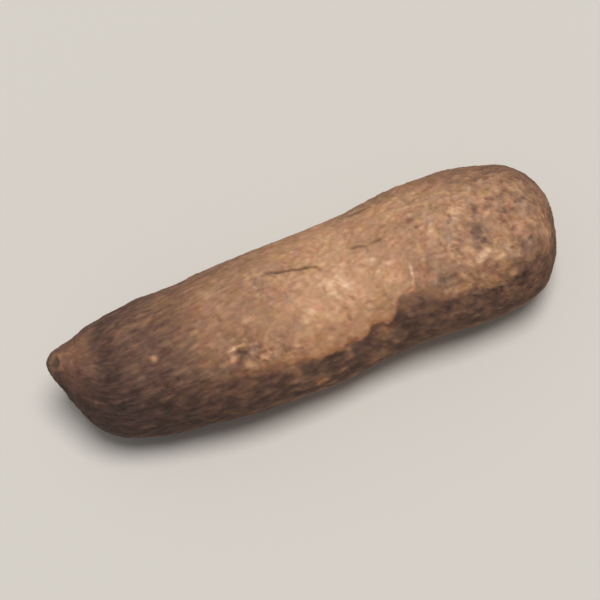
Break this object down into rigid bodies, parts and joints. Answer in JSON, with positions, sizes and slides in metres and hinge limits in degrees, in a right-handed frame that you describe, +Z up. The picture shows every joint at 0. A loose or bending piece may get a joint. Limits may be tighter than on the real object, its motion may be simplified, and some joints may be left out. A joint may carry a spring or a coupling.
{
  "type": "yam tuber",
  "caption": "Whole raw yam tuber, a long cylindrical root with a narrow nubbed end, a blunt rounded end and dry corky bark, lying on its side.",
  "frame": {"origin": "middle of the tuber's box, on the plane that it lies on", "axes": "+X along the tuber towards its blunt growing end, +Z up, +Y across it"},
  "size_m": [0.3308, 0.1034, 0.096],
  "materials": {
    "bark": "matt, dusty, dry corky skin with fibrous streaks and small scales"
  },
  "bodies": {
    "root": {"yam_tuber": "bark"}
  },
  "joints": []
}
